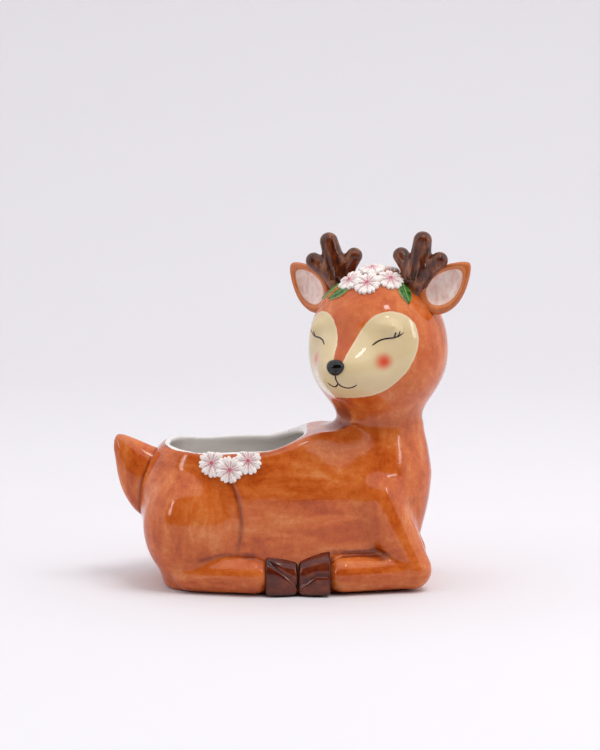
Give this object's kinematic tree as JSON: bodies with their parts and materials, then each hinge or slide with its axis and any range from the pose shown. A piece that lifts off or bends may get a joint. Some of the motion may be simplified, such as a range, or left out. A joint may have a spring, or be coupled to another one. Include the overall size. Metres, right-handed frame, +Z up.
{
  "type": "lying fawn planter",
  "caption": "Ceramic planter shaped as a lying fawn with turned head, antlers, pressed flowers and an open well in its back.",
  "frame": {"origin": "on the flat base, under the middle of the body", "axes": "+Z up, +X from the tail to the chest, -Y towards the side that the face looks to"},
  "size_m": [0.2405, 0.1201, 0.2408],
  "materials": {
    "coat_glaze": "gloss",
    "antler_glaze": "gloss",
    "hoof_glaze": "gloss",
    "nose_glaze": "gloss",
    "petal_glaze": "gloss",
    "leaf_glaze": "gloss"
  },
  "bodies": {
    "root": {"body_shell": "coat_glaze", "head_shell": "coat_glaze", "tail": "coat_glaze", "ear_left": "coat_glaze", "ear_right": "coat_glaze", "antler_left": "antler_glaze", "antler_right": "antler_glaze", "nose": "nose_glaze", "hoof_hind_near": "hoof_glaze", "hoof_fore_near": "hoof_glaze", "hoof_hind_far": "hoof_glaze", "hoof_fore_far": "hoof_glaze", "head_flower_1": "petal_glaze", "head_flower_2": "petal_glaze", "head_flower_3": "petal_glaze", "head_flower_4": "petal_glaze", "head_flower_5": "petal_glaze", "head_flower_6": "petal_glaze", "head_leaf_1": "leaf_glaze", "head_leaf_2": "leaf_glaze", "head_leaf_3": "leaf_glaze", "head_leaf_4": "leaf_glaze", "rim_flower_1": "petal_glaze", "rim_flower_2": "petal_glaze", "rim_flower_3": "petal_glaze"}
  },
  "joints": []
}
